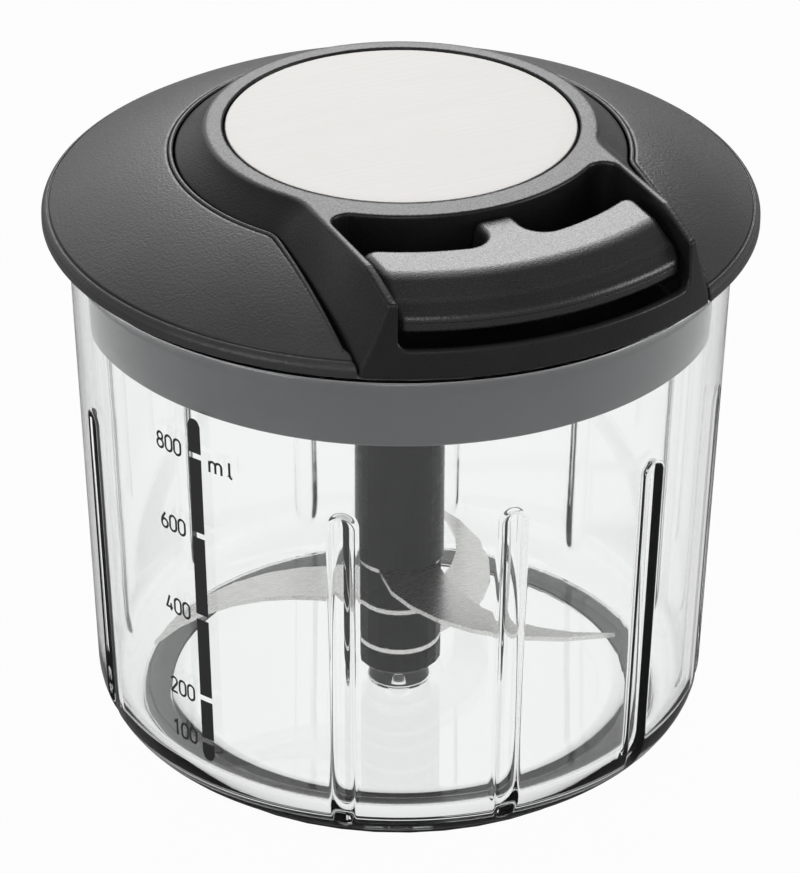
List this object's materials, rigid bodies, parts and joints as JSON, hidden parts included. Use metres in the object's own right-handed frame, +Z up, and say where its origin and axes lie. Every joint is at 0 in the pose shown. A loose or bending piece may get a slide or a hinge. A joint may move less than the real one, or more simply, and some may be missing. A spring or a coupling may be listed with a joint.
{
  "type": "pull-cord food chopper",
  "caption": "Manual food chopper: clear bowl, curved blades on a shaft, and a domed lid whose T handle pulls a cord to spin them.",
  "frame": {"origin": "on the bowl's axis, at the bottom of the anti-slip ring", "axes": "+Z up along the bowl's axis, and the handle pulls out along -Y"},
  "size_m": [0.139, 0.139, 0.1286],
  "materials": {
    "clear_plastic": "clear, polished",
    "charcoal_plastic": "fine matte grain",
    "black_plastic": "satin",
    "grey_plastic": "satin",
    "white_nylon": "natural",
    "black_rubber": "matte",
    "grey_silicone": "matte",
    "disc_steel": "brushed in one direction",
    "blade_steel": "ground",
    "plain_steel": "plain",
    "cord": "braided"
  },
  "bodies": {
    "bowl": {"bowl": "clear_plastic", "antislip_ring": "black_rubber", "pivot_pin": "plain_steel"},
    "lid": {"lid_base": "grey_plastic", "rim_gasket": "grey_silicone", "lid_cover": "charcoal_plastic", "tower_housing": "charcoal_plastic", "steel_disc": "disc_steel", "cord_eyelet": "plain_steel", "reel_axle": "plain_steel", "spring_arbor": "black_plastic", "reel_spring": "plain_steel", "pull_cord": "cord", "lid_screw_1": "plain_steel", "lid_screw_2": "plain_steel", "lid_screw_3": "plain_steel", "lid_screw_4": "plain_steel"},
    "reel": {"cord_reel": "white_nylon", "spring_cup": "white_nylon", "cord_winding": "cord"},
    "drive_hub": {"drive_hub": "white_nylon", "hub_clip": "plain_steel"},
    "blade_insert": {"insert_foot": "black_plastic", "blade_lower": "blade_steel", "insert_spacer_lower": "black_plastic", "blade_middle": "blade_steel", "insert_spacer_upper": "black_plastic", "blade_upper": "blade_steel", "insert_shaft": "black_plastic"},
    "handle": {"handle_upper": "black_plastic", "handle_lower": "black_plastic", "cord_knot": "plain_steel", "handle_screw_1": "plain_steel", "handle_screw_2": "plain_steel"},
    "pawl_1": {"pawl_1": "black_plastic"},
    "pawl_2": {"pawl_2": "black_plastic"}
  },
  "joints": [
    {"name": "lid_lift", "type": "slide", "parent": "bowl", "child": "lid", "axis": [0, 0, 1], "range_m": [0, 0.24]},
    {"name": "handle_pull", "type": "slide", "parent": "lid", "child": "handle", "axis": [0, -1, 0], "range_m": [0, 0.3], "stiffness_N_per_m": 8, "springref_m": -0.1, "deforming": ["pull_cord"]},
    {"name": "reel_spin", "type": "hinge", "parent": "lid", "child": "reel", "pos_m": [0, 0, 0.1151], "axis": [0, 0, -1], "range_deg": [0, 865]},
    {"name": "hub_spin", "type": "hinge", "parent": "lid", "child": "drive_hub", "pos_m": [0, 0, 0.1013], "axis": [0, 0, -1], "range_deg": [0, 865]},
    {"name": "insert_spin", "type": "hinge", "parent": "bowl", "child": "blade_insert", "pos_m": [0, 0, 0.0093], "axis": [0, 0, -1], "range_deg": [0, 865]},
    {"name": "pawl_1_swing", "type": "hinge", "parent": "reel", "child": "pawl_1", "pos_m": [0.021, 0, 0.1028], "axis": [0, 0, 1], "range_deg": [0, 12], "stiffness_Nm_per_rad": 0.0002, "springref_deg": -5.73},
    {"name": "pawl_2_swing", "type": "hinge", "parent": "reel", "child": "pawl_2", "pos_m": [-0.021, 0, 0.1028], "axis": [0, 0, 1], "range_deg": [0, 12], "stiffness_Nm_per_rad": 0.0002, "springref_deg": -5.73}
  ],
  "couplings": [
    {"joint": "reel_spin", "follows": "handle_pull", "rad_per_m": 50.251},
    {"joint": "hub_spin", "follows": "handle_pull", "rad_per_m": 50.251},
    {"joint": "insert_spin", "follows": "handle_pull", "rad_per_m": 50.251}
  ]
}
